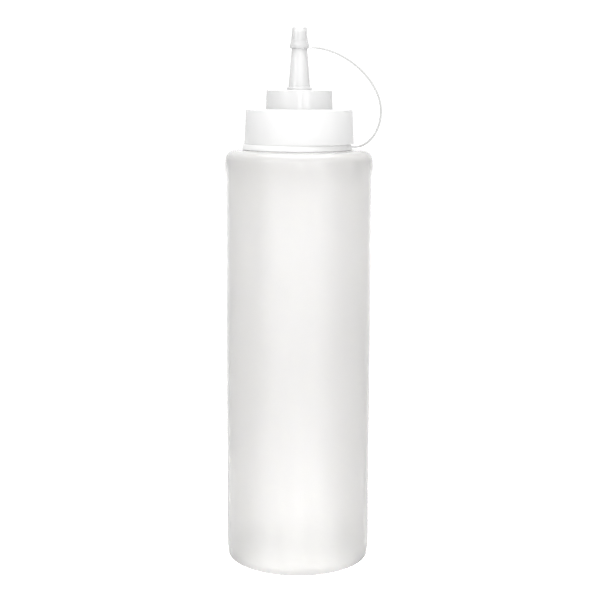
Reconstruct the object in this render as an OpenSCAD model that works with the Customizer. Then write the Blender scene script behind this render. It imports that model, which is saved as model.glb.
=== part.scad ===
// Squeeze bottle for sauce with a screw cap, a dispensing nozzle and a captive tip cap.
// The bottle stands on z = 0 with its axis on Z. The captive strap reaches out towards +X.
// The cap carries a hollow drum and a tapered nozzle in one moulding, drawn as two solids that
// meet on top of the drum. The tip cap, its strap and the band around the neck are the other one.

/* [Bottle] */
// Outside diameter of the round body
body_d = 78; // [72:0.5:90]
// Height of the shoulder where it meets the neck, from the table
body_h = 221.3; // [120:0.1:260]
// Thickness of the side wall
body_wall = 1.2; // [0.8:0.1:2]
// Thickness of the floor
floor_t = 1.8; // [1.2:0.1:3]
// Radius of the rounded shoulder
shoulder_r = 5.8; // [3:0.1:7]
// How far the shoulder falls from the neck to its rounding
shoulder_fall = 0.3; // [0:0.1:1]
// Height over which the wall draws in towards the heel
heel_h = 9; // [5:0.5:16]
// How far the wall draws in at the heel
heel_in = 1; // [0.3:0.1:2.5]
// Radius of the edge between the heel and the standing face
heel_r = 1.3; // [0.8:0.1:3]
// Width of the flat ring that the bottle stands on
stand_w = 4; // [2:0.5:8]
// How far the middle of the base is pushed up
push_up = 2.4; // [1:0.1:5]

/* [Neck] */
// Outside diameter of the neck between the threads
neck_d = 50.4; // [44:0.1:54]
// Height of the neck above the shoulder
neck_h = 19.45; // [15:0.05:26]
// Thickness of the neck wall
neck_wall = 1.7; // [1.2:0.1:2.5]
// Fillet between the neck and the shoulder
neck_fillet = 1.2; // [0.6:0.1:1.5]
// Rounding of the pouring rim
rim_r = 0.5; // [0.2:0.1:0.8]
// Height left around the neck for the thread, which both mouldings share
thread_h = 1.15; // [0.6:0.05:1.5]
// Lead of the thread, the rise in one turn
thread_lead = 4.23; // [3:0.01:6]

/* [Screw cap] */
// Clearance between the thread and the wall of the cap
thread_clear = 0.35; // [0.2:0.05:0.6]
// Thickness of the skirt at its top
skirt_wall = 1.25; // [0.9:0.05:2]
// How far the outside of the skirt flares from its top to its open edge
skirt_flare = 0.85; // [0:0.05:1.2]
// How far the bore of the skirt opens towards its edge
skirt_bore_flare = 0.45; // [0:0.05:0.6]
// Thickness of the deck that lies on the rim of the neck
deck_t = 1.4; // [1:0.1:2.2]
// Rounding of the outer edge of the deck
deck_r = 0.7; // [0.3:0.1:0.9]
// Thickness of the sealing lip that dips into the neck
lip_t = 0.9; // [0.6:0.1:1.4]
// Depth of the sealing lip below the deck
lip_h = 2.6; // [1.5:0.1:4]
// Clearance between the sealing lip and the neck
lip_clear = 0.15; // [0.05:0.05:0.3]

/* [Drum] */
// Outside diameter of the drum at its top
drum_d = 34.4; // [26:0.1:38]
// Height of the drum above the deck
drum_h = 9.8; // [6:0.1:16]
// How far the side of the drum flares down to the deck
drum_flare = 0.4; // [0:0.05:1]
// Thickness of the drum wall
drum_wall = 1.3; // [0.9:0.1:2]
// Thickness of the drum top
drum_top_t = 1.5; // [1:0.1:2.5]
// Rounding of the drum's top edge
drum_r = 0.5; // [0.2:0.1:0.8]

/* [Nozzle] */
// Diameter of the collar at the foot of the nozzle
collar_d = 13.2; // [12.8:0.1:18]
// Height of the collar
collar_h = 1.45; // [0.8:0.05:3]
// Diameter of the cone at its foot
nozzle_foot_d = 11.5; // [9.5:0.1:12]
// Radius of the fillet around the foot of the cone
nozzle_fillet = 0.6; // [0.3:0.05:0.7]
// Diameter of the cone where the tip cap ends
nozzle_seat_d = 8; // [7:0.1:9]
// Height of the bare cone, from the collar to the tip cap
nozzle_bare_h = 19.9; // [12:0.1:40]
// Diameter of the nozzle at its open tip
nozzle_tip_d = 5.9; // [5:0.1:6.5]
// Length of nozzle inside the tip cap
nozzle_in_cap = 8; // [5:0.1:12]
// Thickness of the nozzle wall
nozzle_wall = 0.95; // [0.7:0.05:1.2]

/* [Tip cap] */
// Clearance between the tip cap and the nozzle
tip_clear = 0.1; // [0.05:0.01:0.2]
// Wall of the tip cap at its open rim
tip_rim_wall = 0.96; // [0.8:0.02:1.6]
// Height of the thick rim
tip_rim_h = 1.5; // [1:0.1:2.5]
// Height of the waist where the rim has faded into the plain wall
tip_waist_h = 4.2; // [3:0.1:5]
// Wall of the tip cap at the waist
tip_waist_wall = 0.76; // [0.6:0.02:1]
// Gap above the end of the nozzle
tip_gap = 0.6; // [0.2:0.1:1.5]
// Thickness of the closed end
tip_end_t = 2.4; // [1:0.1:3]
// Wall of the tip cap beside its closed end
tip_end_wall = 0.7; // [0.5:0.02:0.9]
// Rounding of the closed end
tip_end_r = 0.8; // [0.3:0.1:1]

/* [Neck band] */
// Clearance between the loose band and the thread, which it has to pass over
band_clear = 1.05; // [0.5:0.05:1.3]
// Thickness of the band
band_wall = 0.9; // [0.6:0.1:1.4]
// Height of the band
band_h = 2.5; // [1.5:0.1:4]
// How far the band flares towards the shoulder
band_flare = 0.5; // [0.2:0.1:1]
// Gap between the band and the shoulder
band_seat = 0.15; // [0.1:0.05:0.4]
// Gap between the band and the skirt above it
band_gap = 0.45; // [0.2:0.05:1]
// How far the loose band lies to the side that is opposite the strap
band_shift = 1; // [0:0.05:1]

/* [Strap] */
// Thickness of the strap
strap_t = 0.95; // [0.7:0.05:1.4]
// Width of the strap
strap_w = 3; // [2:0.1:5]
// Reach of the bent strap from the bottle's axis
strap_reach = 42.8; // [40:0.1:55]
// Height of the strap's widest place above the shoulder
strap_belly_h = 19.7; // [14:0.1:26]
// Length of the short root on the tip cap's rim
tip_root = 1.6; // [1:0.1:3]
// Length of the short root on the band
band_root = 1.4; // [1:0.1:3]
// Thickness of the pip at each end of the strap, where it is thin and bends
hinge_t = 0.6; // [0.4:0.05:0.7]

/* [Hidden] */

$fn = 96;
arc_steps = 10;
curve_steps = 18;
bury = 0.4;

// Radii and heights that several pieces share
body_r = body_d / 2;
neck_r = neck_d / 2;
mouth_r = neck_r - neck_wall;
thread_r = neck_r + thread_h;
rim_z = body_h + neck_h;

band_z = body_h + band_seat;
band_top_r = thread_r + band_clear + band_wall;
band_foot_r = band_top_r + band_flare;

skirt_z = band_z + band_h + band_gap;
skirt_bore_r = thread_r + thread_clear;
skirt_top_r = skirt_bore_r + skirt_wall;
deck_z = rim_z + deck_t;

drum_top_r = drum_d / 2;
drum_foot_r = drum_top_r + drum_flare;
drum_z = deck_z + drum_h;

collar_r = collar_d / 2;
collar_z = drum_z + collar_h;
foot_r = nozzle_foot_d / 2;
seat_r = nozzle_seat_d / 2;
seat_z = collar_z + nozzle_bare_h;
nozzle_end_r = nozzle_tip_d / 2;
nozzle_end_z = seat_z + nozzle_in_cap;

tip_rim_r = seat_r + tip_clear + tip_rim_wall;
tip_bore_end_z = nozzle_end_z + tip_gap;
tip_top_z = tip_bore_end_z + tip_end_t;

// Outer radius of the nozzle at a height, on the bare cone and inside the tip cap
function nozzle_r(z) = z <= seat_z
    ? foot_r + (seat_r - foot_r) * (z - collar_z) / nozzle_bare_h
    : seat_r + (nozzle_end_r - seat_r) * (z - seat_z) / nozzle_in_cap;

// Points of an arc around [x, y], from one angle to another
function arc(x, y, r, from, to) = [
    for (i = [0:arc_steps])
        let (a = from + (to - from) * i / arc_steps)
        [x + r * cos(a), y + r * sin(a)]
];

// Radius of the outer wall near the heel, where it draws in on a parabola
function heel_wall_r(z) = body_r - heel_in * pow((heel_h - z) / heel_h, 2);
heel_edge_r = heel_wall_r(heel_r);
stand_r = heel_edge_r - heel_r;
dome_r = stand_r - stand_w;

// Underside of the base, a shallow dome inside the standing ring
function dome_z(r) = push_up * (1 - pow(r / dome_r, 2));

// Outside of the bottle as half a section, from the middle of the base to the pouring rim
bottle_outside = [
    for (i = [0:arc_steps]) let (r = dome_r * i / arc_steps) [r, dome_z(r)],
    each arc(stand_r, heel_r, heel_r, -90, 0),
    for (i = [1:arc_steps])
        let (z = heel_r + (heel_h - heel_r) * i / arc_steps) [heel_wall_r(z), z],
    each arc(body_r - shoulder_r, body_h - shoulder_fall - shoulder_r, shoulder_r, 0, 90),
    each arc(neck_r + neck_fillet, body_h + neck_fillet, neck_fillet, 270, 180),
    each arc(neck_r - rim_r, rim_z - rim_r, rim_r, 0, 90)
];

// Inside of the bottle, from the pouring rim back to the middle of the floor
inner_r = body_r - body_wall;
inner_heel_r = heel_r + floor_t;
inner_shoulder_r = shoulder_r - body_wall;
shoulder_under_z = body_h - shoulder_fall - body_wall;
mouth_fillet = neck_fillet + body_wall;
bottle_inside = [
    each arc(mouth_r + rim_r, rim_z - rim_r, rim_r, 90, 180),
    each arc(mouth_r + mouth_fillet, body_h - body_wall + mouth_fillet,
             mouth_fillet, 180, 270),
    each arc(inner_r - inner_shoulder_r, shoulder_under_z - inner_shoulder_r,
             inner_shoulder_r, 90, 0),
    for (i = [0:arc_steps])
        let (z = heel_h - (heel_h - floor_t - inner_heel_r) * i / arc_steps)
        [heel_wall_r(z) - body_wall, z],
    each arc(heel_wall_r(floor_t + inner_heel_r) - body_wall - inner_heel_r,
             floor_t + inner_heel_r, inner_heel_r, -10, -90),
    for (i = [arc_steps:-1:0])
        let (r = dome_r * i / arc_steps) [r, dome_z(r) + floor_t]
];

module bottle() {
    color([0.88, 0.89, 0.88])
        rotate_extrude() polygon(concat(bottle_outside, bottle_inside));
}

// Section of the skirt, the deck and the sealing lip
module skirt_section() {
    bore_foot_r = skirt_bore_r + skirt_bore_flare;
    drum_bore_r = drum_foot_r - drum_wall;
    polygon([
        [bore_foot_r, skirt_z],
        [skirt_top_r + skirt_flare, skirt_z],
        each arc(skirt_top_r - deck_r, deck_z - deck_r, deck_r, 0, 90),
        [drum_bore_r, deck_z],
        [drum_bore_r, rim_z],
        [skirt_bore_r, rim_z]
    ]);
    lip_r = mouth_r - lip_clear;
    difference() {
        translate([lip_r - lip_t, rim_z - lip_h]) square([lip_t, lip_h + bury]);
        translate([lip_r, rim_z - lip_h]) rotate(45) square(lip_t, center = true);
    }
}

// The bore runs straight from under the drum's top to the height where the tip cap ends
bore_foot_r = foot_r - nozzle_wall;
bore_foot_z = drum_z - drum_top_t;
bore_seat_r = seat_r - nozzle_wall;
bore_drum_r = bore_foot_r
    + (bore_seat_r - bore_foot_r) * (drum_z - bore_foot_z) / (seat_z - bore_foot_z);

// Section of the hollow drum with the foot of the bore in its top
module drum_section() {
    polygon([
        [drum_foot_r - drum_wall, rim_z],
        [drum_foot_r, rim_z],
        [drum_foot_r, deck_z],
        each arc(drum_top_r - drum_r, drum_z - drum_r, drum_r, 0, 90),
        [bore_drum_r, drum_z],
        [bore_foot_r, bore_foot_z],
        [drum_top_r - drum_wall, bore_foot_z]
    ]);
}

// Section of the collar and the tapered nozzle with its bore
module nozzle_section() {
    fillet_z = collar_z + nozzle_fillet;
    polygon([
        [bore_drum_r, drum_z],
        [collar_r, drum_z],
        [collar_r, collar_z],
        each arc(nozzle_r(fillet_z) + nozzle_fillet, fillet_z, nozzle_fillet, 270, 180),
        [seat_r, seat_z],
        [nozzle_end_r, nozzle_end_z],
        [nozzle_end_r - nozzle_wall, nozzle_end_z],
        [bore_seat_r, seat_z]
    ]);
}

module screw_cap() {
    color([0.95, 0.95, 0.94])
        rotate_extrude() {
            skirt_section();
            drum_section();
        }
}

module nozzle() {
    color([0.95, 0.95, 0.94]) rotate_extrude() nozzle_section();
}

// Centre line of the strap: one bend from the tip cap down to the widest place, one from
// there back under to the band. Both are cubic curves through four points.
function cubic(a, b, c, d, t) =
    a * pow(1 - t, 3) + 3 * b * pow(1 - t, 2) * t + 3 * c * (1 - t) * pow(t, 2) + d * pow(t, 3);

strap_top = [tip_rim_r + tip_root, seat_z + strap_t / 2];
strap_belly = [strap_reach, body_h + strap_belly_h];
strap_foot = [band_foot_r - band_shift + band_root, band_z + band_h / 2];
upper_span = strap_top[1] - strap_belly[1];
lower_span = strap_belly[1] - strap_foot[1];
upper_bend = [for (i = [0:curve_steps]) cubic(
    strap_top,
    strap_top + [0.45 * (strap_reach - strap_top[0]), 0],
    strap_belly + [0, 0.5 * upper_span],
    strap_belly, i / curve_steps)];
lower_bend = [for (i = [1:curve_steps]) cubic(
    strap_belly,
    strap_belly - [0, 0.58 * lower_span],
    strap_foot + [0.5 * (strap_reach - strap_foot[0]), 0],
    strap_foot, i / curve_steps)];
strap_line = concat(upper_bend, lower_bend);
strap_last = len(strap_line) - 1;

// The strap starts and ends level, so that it meets both roots on upright faces
function strap_dir(i) = i == 0 ? [1, 0] : i == strap_last ? [-1, 0]
    : (strap_line[i + 1] - strap_line[i - 1]) / norm(strap_line[i + 1] - strap_line[i - 1]);
// The strap is thinner over the first and last steps, where it bends as a living hinge
function strap_half(i) = (i < 2 || i > strap_last - 2 ? hinge_t : strap_t) / 2;
function strap_side(i, side) =
    strap_line[i] + side * strap_half(i) * [-strap_dir(i)[1], strap_dir(i)[0]];

// A flat band that stands in the XZ plane and is as wide as the strap along Y
module upright_band(width) {
    translate([0, width / 2, 0]) rotate([90, 0, 0]) linear_extrude(width) children();
}

module strap() {
    color([0.94, 0.94, 0.93])
        upright_band(strap_w) polygon(concat(
            [for (i = [0:strap_last]) strap_side(i, 1)],
            [for (i = [strap_last:-1:0]) strap_side(i, -1)]));
}

module neck_band() {
    color([0.94, 0.94, 0.93]) {
        translate([-band_shift, 0, 0])
            rotate_extrude() polygon([
                [band_foot_r - band_wall, band_z],
                [band_foot_r, band_z],
                [band_top_r, band_z + band_h],
                [band_top_r - band_wall, band_z + band_h]
            ]);
        root_in = band_wall / 2 + band_flare / 2;
        upright_band(strap_w)
            translate([strap_foot[0] - band_root - root_in, strap_foot[1] - strap_t / 2])
            square([band_root + root_in, strap_t]);
    }
}

module tip_cap() {
    waist_z = seat_z + tip_waist_h;
    waist_r = nozzle_r(waist_z) + tip_clear + tip_waist_wall;
    end_r = nozzle_end_r + tip_clear + tip_end_wall;
    color([0.94, 0.94, 0.93]) {
        rotate_extrude() polygon([
            [seat_r + tip_clear, seat_z],
            [tip_rim_r, seat_z],
            [tip_rim_r, seat_z + tip_rim_h],
            [waist_r, waist_z],
            each arc(end_r - tip_end_r, tip_top_z - tip_end_r, tip_end_r, 0, 90),
            [0, tip_top_z],
            [0, tip_bore_end_z],
            [nozzle_end_r + tip_clear, tip_bore_end_z],
            [nozzle_end_r + tip_clear, nozzle_end_z]
        ]);
        root_in = tip_rim_wall / 2;
        upright_band(strap_w)
            translate([tip_rim_r - root_in, seat_z]) square([tip_root + root_in, strap_t]);
    }
}

bottle();
screw_cap();
nozzle();
neck_band();
strap();
tip_cap();
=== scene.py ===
# %% [markdown]
# # A squeeze bottle for sauce, dressed for its picture
# The bottle, its screw cap with the nozzle, and the tether with the tip cap are three mouldings
# in natural, uncoloured polyethylene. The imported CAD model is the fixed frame, and every piece
# here is a finer mesh of the same moulding, made the way a mould maker thinks of it: a section
# that is turned round the axis, with the threads, the parting line and the gate marks on it.

# %% Load the fixed frame
import math
import bmesh
import bpy
from mathutils import Matrix, Vector


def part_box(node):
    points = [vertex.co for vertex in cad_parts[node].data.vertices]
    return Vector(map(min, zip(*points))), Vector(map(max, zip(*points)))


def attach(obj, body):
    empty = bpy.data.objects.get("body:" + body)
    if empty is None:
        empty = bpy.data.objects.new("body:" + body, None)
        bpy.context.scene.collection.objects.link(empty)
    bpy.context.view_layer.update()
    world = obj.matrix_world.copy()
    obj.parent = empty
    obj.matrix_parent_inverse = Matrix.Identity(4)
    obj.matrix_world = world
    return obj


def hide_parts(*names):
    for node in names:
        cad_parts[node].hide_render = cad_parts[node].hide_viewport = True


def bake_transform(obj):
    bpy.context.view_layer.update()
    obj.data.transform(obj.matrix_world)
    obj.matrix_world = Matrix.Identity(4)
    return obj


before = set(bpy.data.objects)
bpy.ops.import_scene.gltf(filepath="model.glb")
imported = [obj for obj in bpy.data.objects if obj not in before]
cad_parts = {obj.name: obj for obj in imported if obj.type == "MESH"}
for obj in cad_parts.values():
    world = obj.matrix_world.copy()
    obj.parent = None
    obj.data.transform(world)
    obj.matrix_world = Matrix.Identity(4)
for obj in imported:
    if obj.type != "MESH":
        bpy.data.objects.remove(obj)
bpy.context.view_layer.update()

# %% [markdown]
# The real bottle was photographed from about two thirds of a metre, with the lens level with
# the cap and looking down a little, against pure white. A camera needs only a place, a turn and
# a focal length, so it comes first, and every later look is judged through it. The whole picture
# also leans by a fifth of a degree, which is put into the camera as roll. Light crosses several
# thin walls on its way through the bottle, so rays may bounce more often than they do by default.

# %% Camera
MM = 0.001
camera_data = bpy.data.cameras.new("studio_camera")
camera = bpy.data.objects.new("studio_camera", camera_data)
bpy.context.scene.collection.objects.link(camera)
camera_data.sensor_width = 36
camera_data.lens = 75.18
camera_data.clip_start = 0.01
look_down, lean = math.radians(9.60), math.radians(0.22)
camera.matrix_world = (
    Matrix.Translation((0.8 * MM, -663 * MM, 253.1 * MM))
    @ Matrix.Rotation(math.radians(90) - look_down, 4, "X")
    @ Matrix.Rotation(lean, 4, "Z")
)
bpy.context.scene.camera = camera
bpy.context.scene.view_settings.view_transform = "Standard"
for kind, bounces in (("max", 24), ("diffuse", 12), ("glossy", 8), ("transmission", 24)):
    setattr(bpy.context.scene.cycles, kind + "_bounces", bounces)
print("camera at", [round(v, 4) for v in camera.matrix_world.translation])

# %% [markdown]
# Nearly every piece is round, so one helper turns a section, as a lathe would. The section is
# drawn in the XZ plane by extruding one vertex from point to point, then spun round Z, and its
# doubles are merged where the spin closes and where the section touches the axis. The section
# runs round the whole thickness of the wall, outside and inside, because light passes through
# this plastic and must meet a real wall. Spinning could leave the faces pointing inwards, so
# the normals are worked out again at the end. Before that, corners get true round arcs.


# %% Drawing a section with rounded corners
def rounded(corners, steps):
    """Points of a line through (r, z) or (r, z, rounding) corners, in millimetres."""
    points = []
    for i, corner in enumerate(corners):
        here = Vector(corner[:2])
        radius = corner[2] if len(corner) > 2 else 0
        if not radius:
            points.append(here)
            continue
        before = (Vector(corners[i - 1][:2]) - here).normalized()
        after = (Vector(corners[(i + 1) % len(corners)][:2]) - here).normalized()
        half = before.angle(after) / 2
        reach = radius / math.tan(half)
        centre = here + (before + after).normalized() * radius / math.sin(half)
        first, last = here + before * reach - centre, here + after * reach - centre
        sweep = first.angle_signed(last)
        for k in range(steps + 1):
            points.append(centre + Matrix.Rotation(-sweep * k / steps, 2) @ first)
    return [(p.x, p.y) for p in points]


corner_test = rounded([(0, 0), (10, 0, 2), (10, 10)], 4)
print("a rounded corner:", [(round(x, 2), round(y, 2)) for x, y in corner_test])


# %% Selecting by place, as a hand would
def everything_off():
    """Back to object mode with nothing selected."""
    if bpy.context.object and bpy.context.object.mode != "OBJECT":
        bpy.ops.object.mode_set(mode="OBJECT")
    bpy.ops.object.select_all(action="DESELECT")


def pick(obj, test, kind="VERT"):
    """In edit mode, selects only the vertices, edges or faces that pass the test."""
    bpy.ops.mesh.select_mode(type=kind)
    bpy.ops.mesh.select_all(action="DESELECT")
    mesh = bmesh.from_edit_mesh(obj.data)
    elements = {"VERT": mesh.verts, "EDGE": mesh.edges, "FACE": mesh.faces}[kind]
    found = [e for e in elements if test(e)]
    for e in found:
        e.select_set(True)
    mesh.select_flush_mode()
    bmesh.update_edit_mesh(obj.data)
    return len(found)


def take_up(obj):
    """Makes one object the selected and active one."""
    everything_off()
    bpy.context.view_layer.objects.active = obj
    obj.select_set(True)


# %% Turning a section on the lathe
def turned(name, section, around=144, closed=True, shift=0.0):
    """A new mesh: the (r, z) section in millimetres, spun round Z.

    A closed section comes back to its first point. An open one starts and ends on the axis.
    """
    everything_off()
    bpy.ops.mesh.primitive_circle_add(vertices=3, radius=MM, location=(0, 0, 0))
    obj = bpy.context.object
    obj.name = obj.data.name = name
    bpy.ops.object.mode_set(mode="EDIT")
    bpy.ops.mesh.select_mode(type="VERT")
    bpy.ops.mesh.select_all(action="SELECT")
    bpy.ops.mesh.merge(type="CENTER")
    bpy.ops.transform.translate(value=(section[0][0] * MM, 0, section[0][1] * MM))
    path = section + section[:1] if closed else section
    for (r0, z0), (r1, z1) in zip(path, path[1:]):
        bpy.ops.mesh.extrude_vertices_move(
            TRANSFORM_OT_translate={"value": ((r1 - r0) * MM, 0, (z1 - z0) * MM)}
        )
    bpy.ops.mesh.select_all(action="SELECT")
    bpy.ops.mesh.spin(steps=around, angle=2 * math.pi, center=(0, 0, 0), axis=(0, 0, 1))
    bpy.ops.mesh.select_all(action="SELECT")
    bpy.ops.mesh.remove_doubles(threshold=0.002 * MM)
    bpy.ops.mesh.dissolve_degenerate(threshold=0.001 * MM)
    bpy.ops.mesh.normals_make_consistent(inside=False)
    if shift:
        bpy.ops.transform.translate(value=(shift * MM, 0, 0))
    bpy.ops.object.mode_set(mode="OBJECT")
    return obj


# %% Measuring a finished mesh
def measured(obj):
    """Prints size, volume and open edges.

    A closed moulding whose faces point outwards has a positive volume and no open edge.
    """
    mesh = bmesh.new()
    mesh.from_mesh(obj.data)
    volume = mesh.calc_volume(signed=True) * 1e9
    open_edges = sum(1 for e in mesh.edges if len(e.link_faces) != 2)
    size = [round(d / MM, 2) for d in obj.dimensions]
    print(f"{obj.name}: {size} mm, {volume:.0f} mm3, {len(mesh.faces)} faces,", end=" ")
    print(f"{open_edges} open edges")
    mesh.free()


sharp_from = math.radians(32)


def smoothed(obj):
    """Shades all edges smooth but the sharp ones."""
    take_up(obj)
    bpy.ops.object.shade_smooth_by_angle(angle=sharp_from, keep_sharp_edges=False)
    return obj


# %% [markdown]
# The main sizes repeat the named values of the CAD source. Whatever can be read from the frame
# is read from it: the height of the bottle's rim, the ends of the nozzle and the tip cap.

# %% Sizes, in millimetres
low, high = {}, {}
for node in ("bottle", "screw_cap", "nozzle", "neck_band", "tip_cap"):
    low[node], high[node] = [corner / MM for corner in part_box(node)]

body_r = 39.0
wall = 1.2
floor_t = 1.8
shoulder_z = 221.3
neck_r, mouth_r = 25.2, 23.5
thread_lead = 4.23
deck_t, collar_h = 1.4, 1.45

rim_z = high["bottle"].z
deck_z = rim_z + deck_t
drum_z = high["screw_cap"].z
collar_z = drum_z + collar_h
seat_z = low["tip_cap"].z
nozzle_end_z = high["nozzle"].z
tip_top_z = high["tip_cap"].z
print(f"rim {rim_z:.2f}, nozzle end {nozzle_end_z:.2f}, seat {seat_z:.2f}, top {tip_top_z:.2f}")

# %% [markdown]
# ## The bottle
# The body is blow-moulded: a hot tube is blown out against a cold mould of two halves. Its wall
# is thin and even, its base is pushed up so that it stands on a ring, and its shoulder turns in
# to the neck. It is turned from one closed section. The outside comes first, from the middle of
# the base up to the pouring rim, and then the inside goes back down to the middle of the floor.
# The plain wall is kept a twentieth of a millimetre inside the frame's, which leaves room for
# the parting line. A blown wall shrinks as it cools, so the shoulder leans in a little before it
# turns over, and there it catches a soft band of light.

# %% Turn the bottle
line_h = 0.05
side_r = body_r - line_h
heel_h, heel_in, heel_r = 9.0, 1.0, 1.3
side_top_z, lean_z, lean_in = 205, 212.5, 0.5
side_heights = (30, 60, 90, 120, 150, 180)


def heel_wall(z):
    """The outside's radius at the foot, which draws in a little towards the floor."""
    return side_r - heel_in * ((heel_h - z) / heel_h) ** 2


stand_r = heel_wall(heel_r) - heel_r
dome_r = stand_r - 4.0
dome_round = 1.5
push_up = 2.4
dome_steps = 12


def dome(k, lift=0.0):
    """The base's pushed-up dome, at one of its steps out from the middle."""
    return (dome_r * k / dome_steps, push_up * (1 - (k / dome_steps) ** 2) + lift)


outside = [dome(k) for k in range(dome_steps - 1)]
outside += rounded(
    [
        dome(dome_steps - 1),
        (dome_r, 0, dome_round),
        (stand_r + heel_r, 0, heel_r),
        (heel_wall(2.6), 2.6),
    ],
    6,
)
outside += [(heel_wall(z), z) for z in (4.0, 5.5, 7.0, 8.0, heel_h)]
outside += [(side_r, z) for z in (*side_heights, side_top_z)]
outside += rounded(
    [
        (side_r, side_top_z),
        (side_r, lean_z, 30),
        (side_r - lean_in, shoulder_z - 0.3, 5.4),
        (neck_r, shoulder_z, 1.2),
        (neck_r, rim_z, 0.5),
        (mouth_r, rim_z),
    ],
    10,
)[1:-1]
print(len(outside), "points outside")

inside = rounded(
    [
        (neck_r, rim_z),
        (mouth_r, rim_z, 0.5),
        (mouth_r, shoulder_z - wall, 2.4),
        (side_r - wall, shoulder_z - 0.3 - wall, 4.6),
        (side_r - wall, side_top_z),
    ],
    10,
)[1:]
inside += [(side_r - wall, z) for z in reversed(side_heights)]
inside += [(heel_wall(z) - wall, z) for z in (heel_h, 8.0, 7.0)]
dome_foot = (dome_r, floor_t, dome_round)
heel_corner = (heel_wall(2.2) - wall, floor_t, 3.1)
inside += rounded([(heel_wall(7.0) - wall, 7.0), heel_corner, dome_foot], 8)[1:-9]
dome_start = (dome_r * 11 / dome_steps, push_up * 0.16 + floor_t)
inside += rounded([(stand_r, floor_t), dome_foot, dome_start], 4)[1:]
inside += [dome(k, floor_t) for k in range(dome_steps - 2, -1, -1)]
bottle = turned("bottle_shell", outside + inside, closed=False)
measured(bottle)

# %% [markdown]
# Where the two halves of the mould meet, every such bottle has a hair-fine line down both sides
# and a pinched seam across the middle of the base, where the tube was squeezed shut. A cut with
# bisect through the whole shell puts three rows of vertices there. The middle row of the outer
# wall is then scaled out by a twentieth of a millimetre, which is enough to catch the light.

# %% Raise the parting line and the pinch seam
line_half_w = 0.16
seam_reach, seam_h = 17, 0.35
under_z = 2.5
take_up(bottle)
bpy.ops.object.mode_set(mode="EDIT")
for offset in (-line_half_w, 0.0, line_half_w):
    bpy.ops.mesh.select_all(action="SELECT")
    bpy.ops.mesh.bisect(plane_co=(0, offset * MM, 0), plane_no=(0, 1, 0))


def in_the_middle(v):
    return abs(v.co.y) < 0.01 * MM


def on_outer_line(v):
    """The middle row, on the outside of the side wall and of the shoulder."""
    r, z = abs(v.co.x) / MM, v.co.z / MM
    on_side = under_z < z < side_top_z and r > side_r - 1.19
    on_shoulder = side_top_z <= z < shoulder_z - 0.5 and r > 33.5
    outwards = v.normal.x * v.co.x > 0 or v.normal.z > 0.3
    return in_the_middle(v) and (on_side or on_shoulder) and outwards


def on_seam(v):
    low_down = v.co.z < under_z * MM and v.normal.z < 0
    return in_the_middle(v) and abs(v.co.x) < seam_reach * MM and low_down


lines = pick(bottle, on_outer_line)
bpy.ops.transform.resize(value=((side_r + line_h) / side_r, 1, 1), center_override=(0, 0, 0))
seam = pick(bottle, on_seam)
bpy.ops.transform.translate(value=(0, 0, -seam_h * MM))
bpy.ops.object.mode_set(mode="OBJECT")
print("vertices on the parting line:", lines, "and on the pinch seam:", seam)
measured(bottle)

# %% [markdown]
# ## The threads
# A screw thread is a ridge on a helix. Its section, a small trapezoid, is drawn at its place,
# the Screw modifier winds it up round Z, and its ends are closed. Both ends of a moulded thread
# run out gently, so the last rings are squeezed down into the wall that carries them. The neck's
# ridge points out and the cap's points in, and the two lie just clear of each other.


# %% Winding a thread
steps_a_turn = 64
crest_half = 0.42


def wound(name, root_r, crest_r, root_half, low_z, angle, turns):
    """A closed helical ridge, right-handed, that starts at an angle and a height."""
    everything_off()
    bpy.ops.mesh.primitive_plane_add(size=MM, location=(0, 0, 0))
    obj = bpy.context.object
    obj.name = obj.data.name = name
    bpy.ops.object.mode_set(mode="EDIT")
    corners = [
        (root_r, -root_half),
        (root_r, root_half),
        (crest_r, crest_half),
        (crest_r, -crest_half),
    ]
    mesh = bmesh.from_edit_mesh(obj.data)
    for vertex, (r, z) in zip([loop.vert for loop in mesh.faces[:][0].loops], corners):
        vertex.co = (r * MM * math.cos(angle), r * MM * math.sin(angle), (low_z + z) * MM)
    bmesh.update_edit_mesh(obj.data)
    bpy.ops.mesh.select_all(action="SELECT")
    bpy.ops.mesh.delete(type="ONLY_FACE")
    bpy.ops.object.mode_set(mode="OBJECT")
    screw = obj.modifiers.new("wind", "SCREW")
    screw.axis = "Z"
    screw.angle = 2 * math.pi * turns
    screw.screw_offset = thread_lead * turns * MM
    screw.steps = screw.render_steps = round(steps_a_turn * turns)
    screw.use_merge_vertices = False
    bpy.ops.object.modifier_apply(modifier=screw.name)
    return obj


# %% Running out the ends of a thread
run_out_rings = 7
last_size = 0.25
ridge_reach, ring_tolerance = 2.2 * MM, 0.02 * MM


def run_out(obj, root_r, low_z, angle, turns):
    """Squeezes the last rings of a thread down to its root at both ends, then closes the ends."""
    count = round(steps_a_turn * turns)
    bpy.context.view_layer.objects.active = obj
    bpy.ops.object.mode_set(mode="EDIT")
    for end in (0, 1):
        for k in range(run_out_rings):
            t = (k if end == 0 else count - k) / count
            a = angle + 2 * math.pi * turns * t
            z = low_z + thread_lead * turns * t
            root = Vector((root_r * math.cos(a), root_r * math.sin(a), z)) * MM
            across = Vector((-math.sin(a), math.cos(a), 0))

            def in_ring(v):
                away = v.co - root
                return away.length < ridge_reach and abs(away.dot(across)) < ring_tolerance

            pick(obj, in_ring)
            size = last_size + (1 - last_size) * math.sin(math.pi / 2 * k / run_out_rings)
            bpy.ops.transform.resize(value=(size, size, size), center_override=root)
    pick(obj, lambda e: e.is_boundary, "EDGE")
    bpy.ops.mesh.edge_face_add()
    bpy.ops.mesh.select_all(action="SELECT")
    bpy.ops.mesh.normals_make_consistent(inside=False)
    bpy.ops.object.mode_set(mode="OBJECT")


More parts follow.
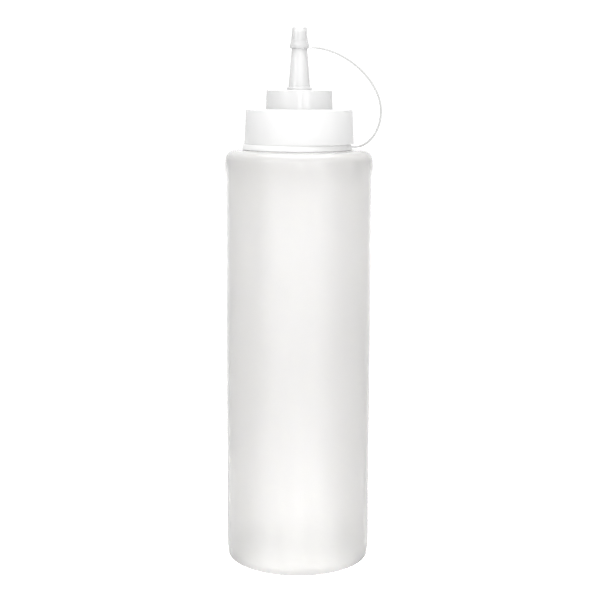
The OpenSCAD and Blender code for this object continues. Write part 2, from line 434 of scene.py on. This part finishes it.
def thread(name, root_r, crest_r, root_half, low_z, angle, turns):
    """A thread's ridge with both its ends run out."""
    ridge = wound(name, root_r, crest_r, root_half, low_z, angle, turns)
    run_out(ridge, root_r, low_z, angle, turns)
    measured(ridge)
    return ridge


def joined_with(obj, other):
    """Unites two closed meshes into one skin and removes the second."""
    take_up(obj)
    union = obj.modifiers.new("unite", "BOOLEAN")
    union.operation, union.solver, union.object = "UNION", "EXACT", other
    bpy.ops.object.modifier_apply(modifier=union.name)
    bpy.data.objects.remove(other)
    return obj


# %% [markdown]
# The angle that a ridge starts at follows from its height and from the height at which the
# neck's helix passes the strap's side. The cap's ridge lies a millimetre and a half below the
# neck's, just under it, as it does in a cap that has been screwed tight.

# %% The neck's thread
helix_z = 226.5


def start_angle(z):
    """Where the helix stands, round the axis, at a height."""
    return 2 * math.pi * (z - helix_z) / thread_lead


neck_root_r, neck_crest_r, neck_root_half = 24.9, 26.28, 1.08
neck_z, neck_turns = 226.1, 2.9
neck_ridge = (neck_root_r, neck_crest_r, neck_root_half, neck_z)
neck_thread = thread("neck_thread", *neck_ridge, start_angle(neck_z), neck_turns)
bottle = joined_with(bottle, neck_thread)
measured(bottle)
smoothed(bottle)

# %% [markdown]
# ## The screw cap
# One injection moulding: a plain skirt that flares a little so that it leaves its mould, a deck
# that lies on the bottle's rim with a sealing lip below it, a hollow drum, a low collar, and the
# long tapered nozzle with an open bore. It is turned from one closed section too. Its upper
# corners are rounded by about half a millimetre, which is what shows as thin bright edges. The
# skirt's foot is nearly sharp, because the mould parts there.

# %% Turn the screw cap
skirt_z = low["screw_cap"].z
skirt_foot_r, skirt_top_r = 28.8, 27.95
bore_foot_r, bore_top_r = 27.15, 26.7
lip_r = mouth_r - 0.15
drum_top_r, drum_foot_r, drum_wall, drum_roof = 17.2, 17.6, 1.3, 1.5
lip_wall, lip_h = 0.9, 2.6
collar_r, foot_r, seat_r, nozzle_end_r, nozzle_wall = 6.6, 5.75, 4.0, 2.95, 0.95
cap_section = rounded(
    [
        (bore_foot_r, skirt_z, 0.2),
        (skirt_foot_r, skirt_z, 0.08),
        (skirt_top_r, deck_z, 0.7),
        (drum_foot_r, deck_z, 0.3),
        (drum_top_r, drum_z, 0.5),
        (collar_r, drum_z, 0.25),
        (collar_r - 0.05, collar_z, 0.3),
        (foot_r, collar_z, 0.5),
        (seat_r, seat_z, 4.0),
        (nozzle_end_r, nozzle_end_z, 0.2),
        (nozzle_end_r - nozzle_wall, nozzle_end_z, 0.15),
        (seat_r - nozzle_wall, seat_z, 4.0),
        (foot_r - nozzle_wall, drum_z - drum_roof, 0.6),
        (drum_top_r - drum_wall, drum_z - drum_roof, 0.6),
        (drum_foot_r - drum_wall, rim_z, 0.3),
        (lip_r - lip_wall, rim_z, 0.3),
        (lip_r - lip_wall, rim_z - lip_h, 0.25),
        (lip_r - 0.3, rim_z - lip_h, 0.2),
        (lip_r, rim_z - 1.9, 0.3),
        (lip_r, rim_z, 0.12),
        (bore_top_r, rim_z, 0.3),
    ],
    5,
)
cap = turned("screw_cap_shell", cap_section)
measured(cap)

# %% The cap's inner thread
cap_root_r, cap_crest_r, cap_root_half = 27.25, 25.5, 1.12
cap_z, cap_turns = 230.1, 1.5
below_neck_ridge = 1.5
cap_ridge = (cap_root_r, cap_crest_r, cap_root_half, cap_z)
cap_angle = start_angle(cap_z + below_neck_ridge)
cap_thread = thread("cap_thread", *cap_ridge, cap_angle, cap_turns)
cap = joined_with(cap, cap_thread)
measured(cap)

# %% [markdown]
# The plastic entered the mould at a gate on top of the drum, which leaves a small round stub,
# cut off low. It is a cylinder with its top edge bevelled, sunk into the deck of the drum and
# united with it.

# %% The gate mark on the drum
gate_r, gate_t, gate_y, gate_z = 1.1, 0.6, 11.5, drum_z - 0.05
everything_off()
bpy.ops.mesh.primitive_cylinder_add(
    vertices=24, radius=gate_r * MM, depth=gate_t * MM, location=(0, gate_y * MM, gate_z * MM)
)
gate = bpy.context.object
bpy.ops.object.transform_apply(location=True, rotation=True, scale=True)
bpy.ops.object.mode_set(mode="EDIT")
pick(gate, lambda f: f.normal.z > 0.9, "FACE")
bpy.ops.mesh.bevel(offset=0.12 * MM, segments=3)
bpy.ops.mesh.inset(thickness=0.35 * MM, depth=-0.1 * MM)
bpy.ops.object.mode_set(mode="OBJECT")
cap = joined_with(cap, gate)
measured(cap)
smoothed(cap)

# %% [markdown]
# ## The tether
# The second moulding is soft: a loose band that lies round the neck, a thin strap and the tip
# cap. The strap joins both through a short root and a thin place that bends as a living hinge.
# The band and the tip cap are turned, and their roots are blocks united with them. The band is
# loose, so the strap's bend holds it a millimetre off the middle. The gate of this moulding is
# sunk in the shallow dimple on top of the tip cap.


# %% A root: a small rounded block
strap_t, strap_w, hinge_t = 0.94, 3.0, 0.6
edge_round = 0.22


def root_block(name, end, length):
    """A block of the strap's section that ends, away from the axis, at an (x, z) point."""
    x0, x1 = end[0] - length, end[0]
    everything_off()
    bpy.ops.mesh.primitive_cube_add(size=MM, location=((x0 + x1) / 2 * MM, 0, end[1] * MM))
    obj = bpy.context.object
    obj.name = obj.data.name = name
    obj.scale = (x1 - x0, strap_w, strap_t)
    bpy.ops.object.transform_apply(location=True, rotation=True, scale=True)
    bpy.ops.object.mode_set(mode="EDIT")
    pick(obj, lambda e: abs((e.verts[0].co - e.verts[1].co).x) > 0.5 * MM, "EDGE")
    bpy.ops.mesh.bevel(offset=edge_round * MM, segments=3)
    bpy.ops.object.mode_set(mode="OBJECT")
    return obj


# %% Turn the neck band
band_shift = 1.0
band_foot_r, band_top_r, band_wall = 28.8, 28.3, 0.9
band_lower_by, band_higher_by = 0.11, 0.38
band_z0, band_z1 = low["neck_band"].z - band_lower_by, high["neck_band"].z + band_higher_by
band_section = rounded(
    [
        (band_foot_r - band_wall, band_z0, 0.25),
        (band_foot_r, band_z0, 0.08),
        (band_top_r, band_z1, 0.08),
        (band_top_r - band_wall, band_z1, 0.25),
    ],
    4,
)
band = turned("neck_band_ring", band_section, shift=-band_shift)
strap_foot = (high["neck_band"].x, (low["neck_band"].z + high["neck_band"].z) / 2)
band = joined_with(band, root_block("band_root", strap_foot, length=2.55))
measured(band)
smoothed(band)

# %% Turn the tip cap
tip_clear = 0.1
rim_wall, waist_wall, end_wall = 0.96, 0.76, 0.7
rim_h, waist_h, roof_gap = 1.5, 4.2, 0.6
dimple_r, dimple_floor_r, dimple_depth = 1.3, 0.9, 0.35


def nozzle_out(z):
    """The nozzle's outside radius at a height above the tip cap's seat."""
    return seat_r + (nozzle_end_r - seat_r) * (z - seat_z) / (nozzle_end_z - seat_z)


waist_z = seat_z + waist_h
bore_end_z = nozzle_end_z + roof_gap
tip_rim_r = seat_r + tip_clear + rim_wall
tip_section = rounded(
    [
        (0, bore_end_z),
        (nozzle_end_r + tip_clear, bore_end_z, 0.3),
        (nozzle_end_r + tip_clear, nozzle_end_z),
        (seat_r + tip_clear, seat_z, 0.2),
        (tip_rim_r, seat_z, 0.25),
        (tip_rim_r, seat_z + rim_h, 0.5),
        (nozzle_out(waist_z) + tip_clear + waist_wall, waist_z, 3.0),
        (nozzle_end_r + tip_clear + end_wall, tip_top_z, 0.8),
        (dimple_r, tip_top_z, 0.15),
        (dimple_floor_r, tip_top_z - dimple_depth, 0.2),
        (0, tip_top_z - dimple_depth),
    ],
    5,
)
tip = turned("tip_cap_shell", tip_section, around=96, closed=False)
strap_top = (high["tip_cap"].x, seat_z + strap_t / 2)
tip = joined_with(tip, root_block("tip_root", strap_top, length=2.1))
measured(tip)
smoothed(tip)

# %% [markdown]
# The strap was moulded flat and is bent by being pushed onto the nozzle. Its middle line is one
# bend from the tip cap down to its widest place, and one from there back under to the band. It
# is made as a ribbon is forged: a plane of the section's size is set at the foot and its corners
# are rounded, and then it is extruded along the line a step at a time, turned to the line's
# direction at each step, and thinned at both ends for the living hinges.

# %% The strap's middle line
belly = (42.8, shoulder_z + 19.7)


def bend(start, start_pull, end_pull, end, steps):
    """Points of a cubic curve that leaves and reaches its ends in the pulls' directions."""
    line = []
    for t in [k / steps for k in range(steps + 1)]:
        weights = ((1 - t) ** 3, 3 * (1 - t) ** 2 * t, 3 * (1 - t) * t * t, t ** 3)
        pulls = (start, start_pull, end_pull, end)
        line.append([sum(w * p[k] for w, p in zip(weights, pulls)) for k in (0, 1)])
    return line


lower_span, upper_span = belly[1] - strap_foot[1], strap_top[1] - belly[1]
lower = bend(
    strap_foot,
    (strap_foot[0] + 0.5 * (belly[0] - strap_foot[0]), strap_foot[1]),
    (belly[0], belly[1] - 0.58 * lower_span),
    belly,
    28,
)
upper = bend(
    belly,
    (belly[0], belly[1] + 0.5 * upper_span),
    (strap_top[0] + 0.45 * (belly[0] - strap_top[0]), strap_top[1]),
    strap_top,
    48,
)
strap_line = lower + upper[1:]
along = [0.0]
for p, q in zip(strap_line, strap_line[1:]):
    along.append(along[-1] + math.dist(p, q))
print(f"the strap is {along[-1]:.1f} mm long")


# %% The strap's direction and thickness along its line
hinge_length = 1.6


def heading(i):
    """The line's direction at a point, which is level at both ends."""
    before, after = strap_line[max(i - 1, 0)], strap_line[min(i + 1, len(strap_line) - 1)]
    if i == 0:
        return 0.0
    if i == len(strap_line) - 1:
        return math.pi
    return math.atan2(after[1] - before[1], after[0] - before[0])


def thickness(i):
    """Thin at both ends, then swelling to the full thickness over the same length."""
    end = min(along[i], along[-1] - along[i])
    t = min(max((end - hinge_length) / hinge_length, 0), 1)
    return hinge_t + (strap_t - hinge_t) * t * t * (3 - 2 * t)


def point(xz):
    """An (x, z) pair in millimetres as a place in metres."""
    return (xz[0] * MM, 0, xz[1] * MM)


def turn_by(angle, centre):
    """Turns what is selected about Y, from +X towards +Z."""
    bpy.ops.transform.rotate(value=angle, orient_axis="Y", center_override=point(centre))


# %% Forge a length of strap
def strap_piece(name, first, last):
    """The strap from one step of its line to another, closed at both ends."""
    everything_off()
    foot = strap_line[first]
    upright = (0, math.pi / 2, 0)
    bpy.ops.mesh.primitive_plane_add(size=MM, location=point(foot), rotation=upright)
    obj = bpy.context.object
    obj.name = obj.data.name = name
    bpy.ops.object.transform_apply(location=True, rotation=True, scale=True)
    bpy.ops.object.mode_set(mode="EDIT")
    bpy.ops.mesh.select_all(action="SELECT")
    section = (1, strap_w, thickness(first))
    bpy.ops.transform.resize(value=section, center_override=point(foot))
    bpy.ops.mesh.bevel(offset=edge_round * MM, segments=3, affect="VERTICES")
    turn_by(heading(first), foot)
    for i in range(first + 1, last + 1):
        (x0, z0), (x1, z1) = strap_line[i - 1], strap_line[i]
        step = ((x1 - x0) * MM, 0, (z1 - z0) * MM)
        bpy.ops.mesh.extrude_region_move(TRANSFORM_OT_translate={"value": step})
        turn_by(heading(i) - heading(i - 1), (x1, z1))
        thin = thickness(i) / thickness(i - 1)
        bpy.ops.transform.resize(value=(thin, 1, thin), center_override=point((x1, z1)))
    bpy.ops.mesh.select_all(action="SELECT")
    bpy.ops.mesh.normals_make_consistent(inside=False)
    bpy.ops.object.mode_set(mode="OBJECT")
    measured(obj)
    return smoothed(obj)


# %% The strap's three pieces
tip_length = 5.5
line_end = len(strap_line) - 1
at_belly = len(lower) - 1
at_tip = next(i for i in range(at_belly, line_end + 1) if along[-1] - along[i] < tip_length)
strap_lower = strap_piece("strap_lower", 0, at_belly)
strap_upper = strap_piece("strap_upper", at_belly, at_tip)
strap_hinge = strap_piece("strap_hinge", at_tip, line_end)

# %% [markdown]
# ## What moves with what
# Each moulding rides on its own body: the bottle, the screw cap, the band and the tip cap. The
# strap's three pieces, from the foot to the belly, from the belly to the hinge, and the last few
# millimetres at the tip cap, stay where they are made, and the places where they meet are printed.

# %% Bodies
for piece, body, nodes, slot in (
    (bottle, "bottle", ["bottle"], "bottle_body"),
    (cap, "screw_cap", ["screw_cap", "nozzle"], "cap"),
    (band, "neck_band", ["neck_band"], "tether"),
    (tip, "tip_cap", ["tip_cap"], "tether"),
):
    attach(piece, body)
    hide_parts(*nodes)

foot, widest, bend_end, top = map(point, (strap_foot, belly, strap_line[at_tip], strap_top))
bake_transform(strap_lower)
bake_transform(strap_upper)
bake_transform(strap_hinge)
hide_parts("strap")
ends = [tuple(round(v / MM, 1) for v in end) for end in (foot, widest, bend_end, top)]
print("the strap's pieces meet at:", ends)

# %% [markdown]
# ## The plastic
# Natural polyethylene is milky: some light scatters back, most passes through, and the surface
# has a waxy satin. One Principled shader does this: a pale base colour for what scatters back,
# part of the weight in transmission, and a middling roughness that blurs what is behind. A long
# way through the wall takes some light away, as at the edge of the body, so a thin absorption
# fills the volume. Three small effects are shared by all the finishes, so each is a node group:
# the cloudy thickness, the lines that the mould draws down the wall, and the marks of handling.


# %% Building nodes
def group(name, inputs, output):
    """A node group with a vector input, named numbers as inputs, and one output."""
    tree = bpy.data.node_groups.new(name, "ShaderNodeTree")
    tree.interface.new_socket(name="Vector", in_out="INPUT", socket_type="NodeSocketVector")
    for label, value in inputs:
        socket = tree.interface.new_socket(
            name=label, in_out="INPUT", socket_type="NodeSocketFloat"
        )
        socket.default_value = value
    tree.interface.new_socket(name=output, in_out="OUTPUT", socket_type="NodeSocketFloat")
    return tree, tree.nodes.new("NodeGroupInput").outputs, tree.nodes.new("NodeGroupOutput").inputs


def add(tree, kind, **settings):
    """Adds a node. A key that names an input sets it, and any other is a property."""
    node = tree.nodes.new(kind)
    for key, value in settings.items():
        if key in node.inputs:
            node.inputs[key].default_value = value
        else:
            setattr(node, key, value)
    return node


def feed(tree, socket, value):
    """Sets an input to a number or to a colour, or links another node's output to it."""
    if isinstance(value, (int, float)):
        socket.default_value = value
    elif isinstance(value, tuple):
        socket.default_value = (*value, 1)
    else:
        tree.links.new(value, socket)


# %% Building nodes that the groups and the finishes share
def math_node(tree, operation, *operands, clamp=False):
    node = add(tree, "ShaderNodeMath", operation=operation, use_clamp=clamp)
    for socket, value in zip(node.inputs, operands):
        feed(tree, socket, value)
    return node.outputs[0]


def noise_node(tree, vector, scale, detail, roughness):
    node = add(tree, "ShaderNodeTexNoise", Detail=detail, Roughness=roughness)
    tree.links.new(vector, node.inputs["Vector"])
    tree.links.new(scale, node.inputs["Scale"])
    return node.outputs[0]


def colour_mix(tree, factor, first, second):
    """Goes from the first colour to the second as the factor goes from 0 to 1."""
    node = add(tree, "ShaderNodeMix", data_type="RGBA")
    feed(tree, node.inputs["Factor"], factor)
    sockets = [socket for socket in node.inputs if socket.type == "RGBA"]
    feed(tree, sockets[0], first)
    feed(tree, sockets[1], second)
    return [socket for socket in node.outputs if socket.type == "RGBA"][0]


def smooth_step(tree, value, *limits):
    """Takes a value smoothly from one range to another: from low, from high, to low, to high."""
    node = add(tree, "ShaderNodeMapRange", interpolation_type="SMOOTHSTEP")
    for name, limit in zip(("From Min", "From Max", "To Min", "To Max"), limits):
        node.inputs[name].default_value = limit
    tree.links.new(value, node.inputs["Value"])
    return node.outputs["Result"]


# %% Group: cloudy thickness
cloud, given, result = group("cloudy_thickness", [("Per metre", 30.0), ("Tallness", 3.0)], "Value")
squeeze = add(cloud, "ShaderNodeCombineXYZ", X=1.0, Y=1.0)
cloud.links.new(math_node(cloud, "DIVIDE", 1.0, given["Tallness"]), squeeze.inputs["Z"])
stretch = add(cloud, "ShaderNodeVectorMath", operation="MULTIPLY")
cloud.links.new(given["Vector"], stretch.inputs[0])
cloud.links.new(squeeze.outputs[0], stretch.inputs[1])
clouded = noise_node(cloud, stretch.outputs[0], given["Per metre"], 3.0, 0.5)
cloud.links.new(clouded, result["Value"])
print("group", cloud.name)

# %% Group: lines drawn down the wall
down_the_wall = (1.0, 1.0, 0.02)
drawn_lines, given, result = group("drawn_lines", [("Per metre", 400.0)], "Height")
flat = add(drawn_lines, "ShaderNodeVectorMath", operation="MULTIPLY")
flat.inputs[1].default_value = down_the_wall
drawn_lines.links.new(given["Vector"], flat.inputs[0])
lined = noise_node(drawn_lines, flat.outputs[0], given["Per metre"], 4.0, 0.65)
drawn_lines.links.new(lined, result["Height"])
print("group", drawn_lines.name)

# %% Group: marks of handling
marks, given, result = group("handling_marks", [("Per metre", 120.0), ("Rarity", 0.6)], "Mask")
masks = []
for turn, scale in (((0.5, 0.9, 0.3), (1.0, 0.12, 1.0)), ((1.1, -0.4, 1.9), (0.1, 1.0, 1.0))):
    mapping = add(marks, "ShaderNodeMapping", Rotation=turn, Scale=scale)
    marks.links.new(given["Vector"], mapping.inputs["Vector"])
    scratches = noise_node(marks, mapping.outputs[0], given["Per metre"], 6.0, 0.75)
    over = math_node(marks, "SUBTRACT", scratches, given["Rarity"])
    masks.append(math_node(marks, "MULTIPLY", over, 9.0, clamp=True))
marks.links.new(math_node(marks, "MAXIMUM", *masks), result["Mask"])
print("group", marks.name)


# %% Placing a group
def place(tree, node_group, vector, **values):
    """Puts a group in a material and sets its numbers. Underscores stand for spaces."""
    node = tree.nodes.new("ShaderNodeGroup")
    node.node_tree = node_group
    tree.links.new(vector, node.inputs["Vector"])
    for key, value in values.items():
        node.inputs[key.replace("_", " ")].default_value = value
    return node.outputs[0]


# %% [markdown]
# The finishes share one recipe, and differ in how pale, how clear, how milky and how rough they
# are, in the depth of their grain, and in what their volume takes away. The recipe mixes a pale
# and a slightly deeper tone by the clouds, whitens it a little where it is marked, and turns the
# drawn lines and the grain into heights, in metres, for the bump.


# %% The recipe for a finish
line_depth = 0.00001
absorbed = (0.66, 0.655, 0.63)


def polyethylene(name, pale, deep, marked, clear, milky, rough, grain_depth, absorb):
    """A finish: three colours, the shares of light passed and scattered, and the surface."""
    material = bpy.data.materials.new(name)
    material.use_nodes = True
    material.diffuse_color = (*pale, 1)
    tree = material.node_tree
    shader = tree.nodes["Principled BSDF"].inputs
    shader["IOR"].default_value = 1.5
    shader["Transmission Weight"].default_value = clear
    shader["Subsurface Weight"].default_value = milky
    shader["Subsurface Radius"].default_value = (1.0, 1.0, 0.95)
    shader["Subsurface Scale"].default_value = 0.003
    place_on = tree.nodes.new("ShaderNodeTexCoord").outputs["Object"]
    clouds = place(tree, cloud, place_on, Per_metre=28.0, Tallness=3.5)
    drawn = place(tree, drawn_lines, place_on, Per_metre=420.0)
    worn = place(tree, marks, place_on, Per_metre=110.0, Rarity=0.68)
    grain = place(tree, cloud, place_on, Per_metre=1600.0, Tallness=1.0)

    tint = colour_mix(tree, clouds, pale, deep)
    scuffed = colour_mix(tree, math_node(tree, "MULTIPLY", worn, 0.15), tint, marked)
    tree.links.new(scuffed, shader["Base Color"])

    uneven = math_node(tree, "MULTIPLY_ADD", clouds, 0.1, rough - 0.05)
    rubbed = math_node(tree, "MULTIPLY_ADD", worn, 0.05, uneven)
    tree.links.new(rubbed, shader["Roughness"])

    height = math_node(tree, "MULTIPLY", grain, grain_depth)
    height = math_node(tree, "MULTIPLY_ADD", drawn, line_depth, height)
    height = math_node(tree, "MULTIPLY_ADD", worn, grain_depth * -0.3, height)
    bump = add(tree, "ShaderNodeBump", Strength=1.0, Distance=1.0)
    tree.links.new(height, bump.inputs["Height"])
    tree.links.new(bump.outputs[0], shader["Normal"])

    volume = add(tree, "ShaderNodeVolumeAbsorption", Color=(*absorbed, 1), Density=absorb)
    tree.links.new(volume.outputs[0], tree.nodes["Material Output"].inputs["Volume"])
    return material


def grey(value):
    """A colour with the same share of red, green and blue."""
    return (value, value, value)


# %% [markdown]
# The blown body is milky all through, and a thin coat adds the sharp highlights of its polished
# mould. The skirt and the deck of the screw cap are the whitest. The drum and the nozzle belong
# to the same moulding but let more light through, so they have a clearer finish of their own,
# whose colour is painted slightly darker, a painted shade for their thin walls; so has the tip
# cap. The strap is thin and is seen against the light, and its colour is painted the darkest,
# a painted shade for that.

# %% The finishes
body_plastic = polyethylene(
    "blown_body", (0.93, 0.92, 0.905), (0.89, 0.88, 0.865), (0.92, 0.92, 0.91),
    clear=0.58, milky=1.0, rough=0.14, grain_depth=0.000002, absorb=200.0,
)
skin = body_plastic.node_tree.nodes["Principled BSDF"].inputs
skin["Coat Weight"].default_value = 0.6
skin["Coat Roughness"].default_value = 0.06
cap_plastic = polyethylene(
    "moulded_cap", grey(0.90), grey(0.87), grey(0.90),
    clear=0.32, milky=0.0, rough=0.25, grain_depth=0.000004, absorb=10.0,
)
# The drum and the nozzle: clearer than the skirt, and painted darker, a painted shade for their
# thin walls.
thin_cap_painted_shade_plastic = polyethylene(
    "moulded_cap_thin_painted_shade", grey(0.83), grey(0.81), grey(0.90),
    clear=0.36, milky=0.0, rough=0.13, grain_depth=0.000003, absorb=15.0,
)
tether_plastic = polyethylene(
    "soft_tether", grey(0.88), grey(0.85), grey(0.90),
    clear=0.15, milky=0.0, rough=0.25, grain_depth=0.000004, absorb=10.0,
)
# The tip cap: clearer than the band, and painted darker, a painted shade for its thin walls.
tip_painted_shade_plastic = polyethylene(
    "soft_tip_painted_shade", grey(0.76), grey(0.74), grey(0.82),
    clear=0.36, milky=0.0, rough=0.13, grain_depth=0.000003, absorb=20.0,
)
# The strap: painted much darker than the band, a painted shade for a thin strap seen against the
# light.
strap_painted_shade_plastic = polyethylene(
    "thin_strap_painted_shade", (0.52, 0.52, 0.515), (0.49, 0.49, 0.485), grey(0.62),
    clear=0.10, milky=0.0, rough=0.20, grain_depth=0.000003, absorb=60.0,
)
for piece, *materials in (
    (bottle, body_plastic),
    (cap, cap_plastic, thin_cap_painted_shade_plastic),
    (band, tether_plastic),
    (tip, tip_painted_shade_plastic),
    (strap_lower, strap_painted_shade_plastic),
    (strap_upper, strap_painted_shade_plastic),
    (strap_hinge, strap_painted_shade_plastic),
):
    piece.data.materials.clear()
    for material in materials:
        piece.data.materials.append(material)
print("finishes:", [m.name for m in bpy.data.materials if m.users])

# %% The clearer finish with its painted shade, from the deck up
take_up(cap)
bpy.ops.object.mode_set(mode="EDIT")
above_deck = (deck_z + 0.15) * MM
thin_faces = pick(cap, lambda f: f.calc_center_median().z > above_deck, "FACE")
cap.active_material_index = 1
bpy.ops.object.material_slot_assign()
bpy.ops.object.mode_set(mode="OBJECT")
print("faces of the drum and the nozzle:", thin_faces)

# %% [markdown]
# ## The studio
# The photograph is high key: white all round, with no shadow on the floor. A pale floor that
# glows, like a light table, does that, and it lights the bottle from below. The camera sees it
# white everywhere. What it gives the bottle is shaped: it glows less to both sides, and its glow
# dips a little way off the foot, so that the flanks stay grey and the lower half of the body is
# no brighter than the upper.

# %% Floor
everything_off()
bpy.ops.mesh.primitive_plane_add(size=6, location=(0, 0, -0.0002))
floor = bpy.context.object
floor.name = "studio_floor"
floor_paint = bpy.data.materials.new("pale_floor")
floor_paint.use_nodes = True
floor.data.materials.append(floor_paint)
paint = floor_paint.node_tree
shader = paint.nodes["Principled BSDF"].inputs
shader["Roughness"].default_value = 0.3
shader["Emission Color"].default_value = (1, 1, 1, 1)
place_on_floor = paint.nodes.new("ShaderNodeTexCoord").outputs["Object"]
seen_floor = paint.nodes.new("ShaderNodeLightPath").outputs["Is Camera Ray"]
print("floor:", floor.name)

# %% [markdown]
# Two numbers say where a point of the floor is: how far away, and how far aside, which is the
# share of that distance that goes sideways. In front of the bottle the second is made smaller,
# so the bright part is wider there than behind.

# %% The floor's glow
across = add(paint, "ShaderNodeSeparateXYZ")
paint.links.new(place_on_floor, across.inputs[0])
distance = add(paint, "ShaderNodeVectorMath", operation="LENGTH")
paint.links.new(place_on_floor, distance.inputs[0])
away = distance.outputs["Value"]
sideways = math_node(paint, "ABSOLUTE", across.outputs["X"])
ahead = math_node(paint, "DIVIDE", across.outputs["Y"], away)
ahead = math_node(paint, "MINIMUM", ahead, 0.0)
aside = math_node(paint, "DIVIDE", sideways, away)
wider_ahead, seen_glow = 0.45, 0.9
aside = math_node(paint, "MULTIPLY_ADD", ahead, wider_ahead, aside)
sheet = smooth_step(paint, aside, 0.15, 0.8, 1.0, 0.4)

nearby = add(paint, "ShaderNodeValToRGB")
stops = nearby.color_ramp.elements
for at, glowing in ((0.025, 1.0), (0.15, 0.35), (0.35, 0.35), (0.7, 0.85)):
    stop = stops.new(at)
    stop.color = (*grey(glowing), 1)
stops.remove(stops[0])
stops.remove(stops[-1])
ramp_reach = 2.0
paint.links.new(math_node(paint, "MULTIPLY", away, 1 / ramp_reach), nearby.inputs["Fac"])
glow = math_node(paint, "MULTIPLY", sheet, nearby.outputs["Color"])
glow = math_node(paint, "MULTIPLY_ADD", seen_floor, seen_glow, glow)
paint.links.new(glow, shader["Emission Strength"])
# The floor's colour is painted too: pale where the camera sees it and along the middle, and darker
# to both sides for every other ray, a painted shade that keeps the bottle's flanks grey.
lit = math_node(paint, "MAXIMUM", sheet, seen_floor)
paint.links.new(colour_mix(paint, lit, grey(0.1), grey(0.7)), shader["Base Color"])
print("stops of the glow:", [round(stop.position * ramp_reach, 2) for stop in stops], "m")

# %% [markdown]
# The room is white where the camera looks straight at it. For all other rays it is a soft room
# that is darker at both sides, which gives a clear plastic its grey flanks and dark outline. It
# is lighter above and in front, and a bright lamp overhead draws the light band along the top of
# the bottle's shoulder.

# %% Room
room = bpy.data.worlds.new("studio_room")
bpy.context.scene.world = room
room.use_nodes = True
tree = room.node_tree
tree.nodes.clear()
direction = add(tree, "ShaderNodeSeparateXYZ")
generated = tree.nodes.new("ShaderNodeTexCoord").outputs["Generated"]
tree.links.new(generated, direction.inputs[0])
sideways = math_node(tree, "POWER", math_node(tree, "ABSOLUTE", direction.outputs["X"]), 1.5)
upwards = math_node(tree, "MAXIMUM", direction.outputs["Z"], 0.0)
forwards = math_node(tree, "MULTIPLY", direction.outputs["Y"], -1.0)
forwards = math_node(tree, "MAXIMUM", forwards, 0.0)
behind, less_aside, more_above, more_in_front = 1.05, 0.58, 0.3, 0.25
level = math_node(tree, "MULTIPLY_ADD", sideways, -less_aside, behind)
level = math_node(tree, "MULTIPLY_ADD", upwards, more_above, level)
level = math_node(tree, "MULTIPLY_ADD", forwards, more_in_front, level)
overhead = smooth_step(tree, upwards, 0.80, 0.90, 0.0, 2.5)
level = math_node(tree, "ADD", level, overhead)
seen = add(tree, "ShaderNodeBackground", Color=(1, 1, 1, 1), Strength=1.2)
unseen = add(tree, "ShaderNodeBackground", Color=(1, 1, 1, 1))
tree.links.new(level, unseen.inputs["Strength"])
choose = tree.nodes.new("ShaderNodeMixShader")
seen_room = tree.nodes.new("ShaderNodeLightPath").outputs["Is Camera Ray"]
for output, socket in zip((seen_room, unseen.outputs[0], seen.outputs[0]), choose.inputs):
    tree.links.new(output, socket)
tree.links.new(choose.outputs[0], tree.nodes.new("ShaderNodeOutputWorld").inputs["Surface"])
print("room:", room.name, "with", len(tree.nodes), "nodes")

# %% [markdown]
# Three softboxes draw the upright highlights on the drum, the nozzle and the shoulder: a wide
# one far to the left, a tall narrow one almost in front, and a tall one to the right of it. They
# stand a metre and a half from the upper part of the bottle and are aimed at it.

# %% Softboxes
aim = Vector((0, 0, 0.2))
box_distance = 1.5
for name, azimuth, elevation, width, height, power in (
    ("left_softbox", -48, 20, 0.7, 0.3, 1.9),
    ("front_softbox", 3, 14, 0.26, 0.5, 1.5),
    ("right_softbox", 27, 14, 0.42, 0.5, 1.6),
):
    data = bpy.data.lights.new(name, "AREA")
    data.shape, data.size, data.size_y, data.energy = "RECTANGLE", width, height, power
    light = bpy.data.objects.new(name, data)
    bpy.context.scene.collection.objects.link(light)
    a, e = math.radians(azimuth), math.radians(elevation)
    out = Vector((math.sin(a) * math.cos(e), -math.cos(a) * math.cos(e), math.sin(e)))
    stand = aim + box_distance * out
    light.location = stand
    light.rotation_euler = (aim - stand).to_track_quat("-Z", "Y").to_euler()

# %% [markdown]
# The dressed model must not be bigger than the CAD model.

# %% Finish
bpy.context.view_layer.update()
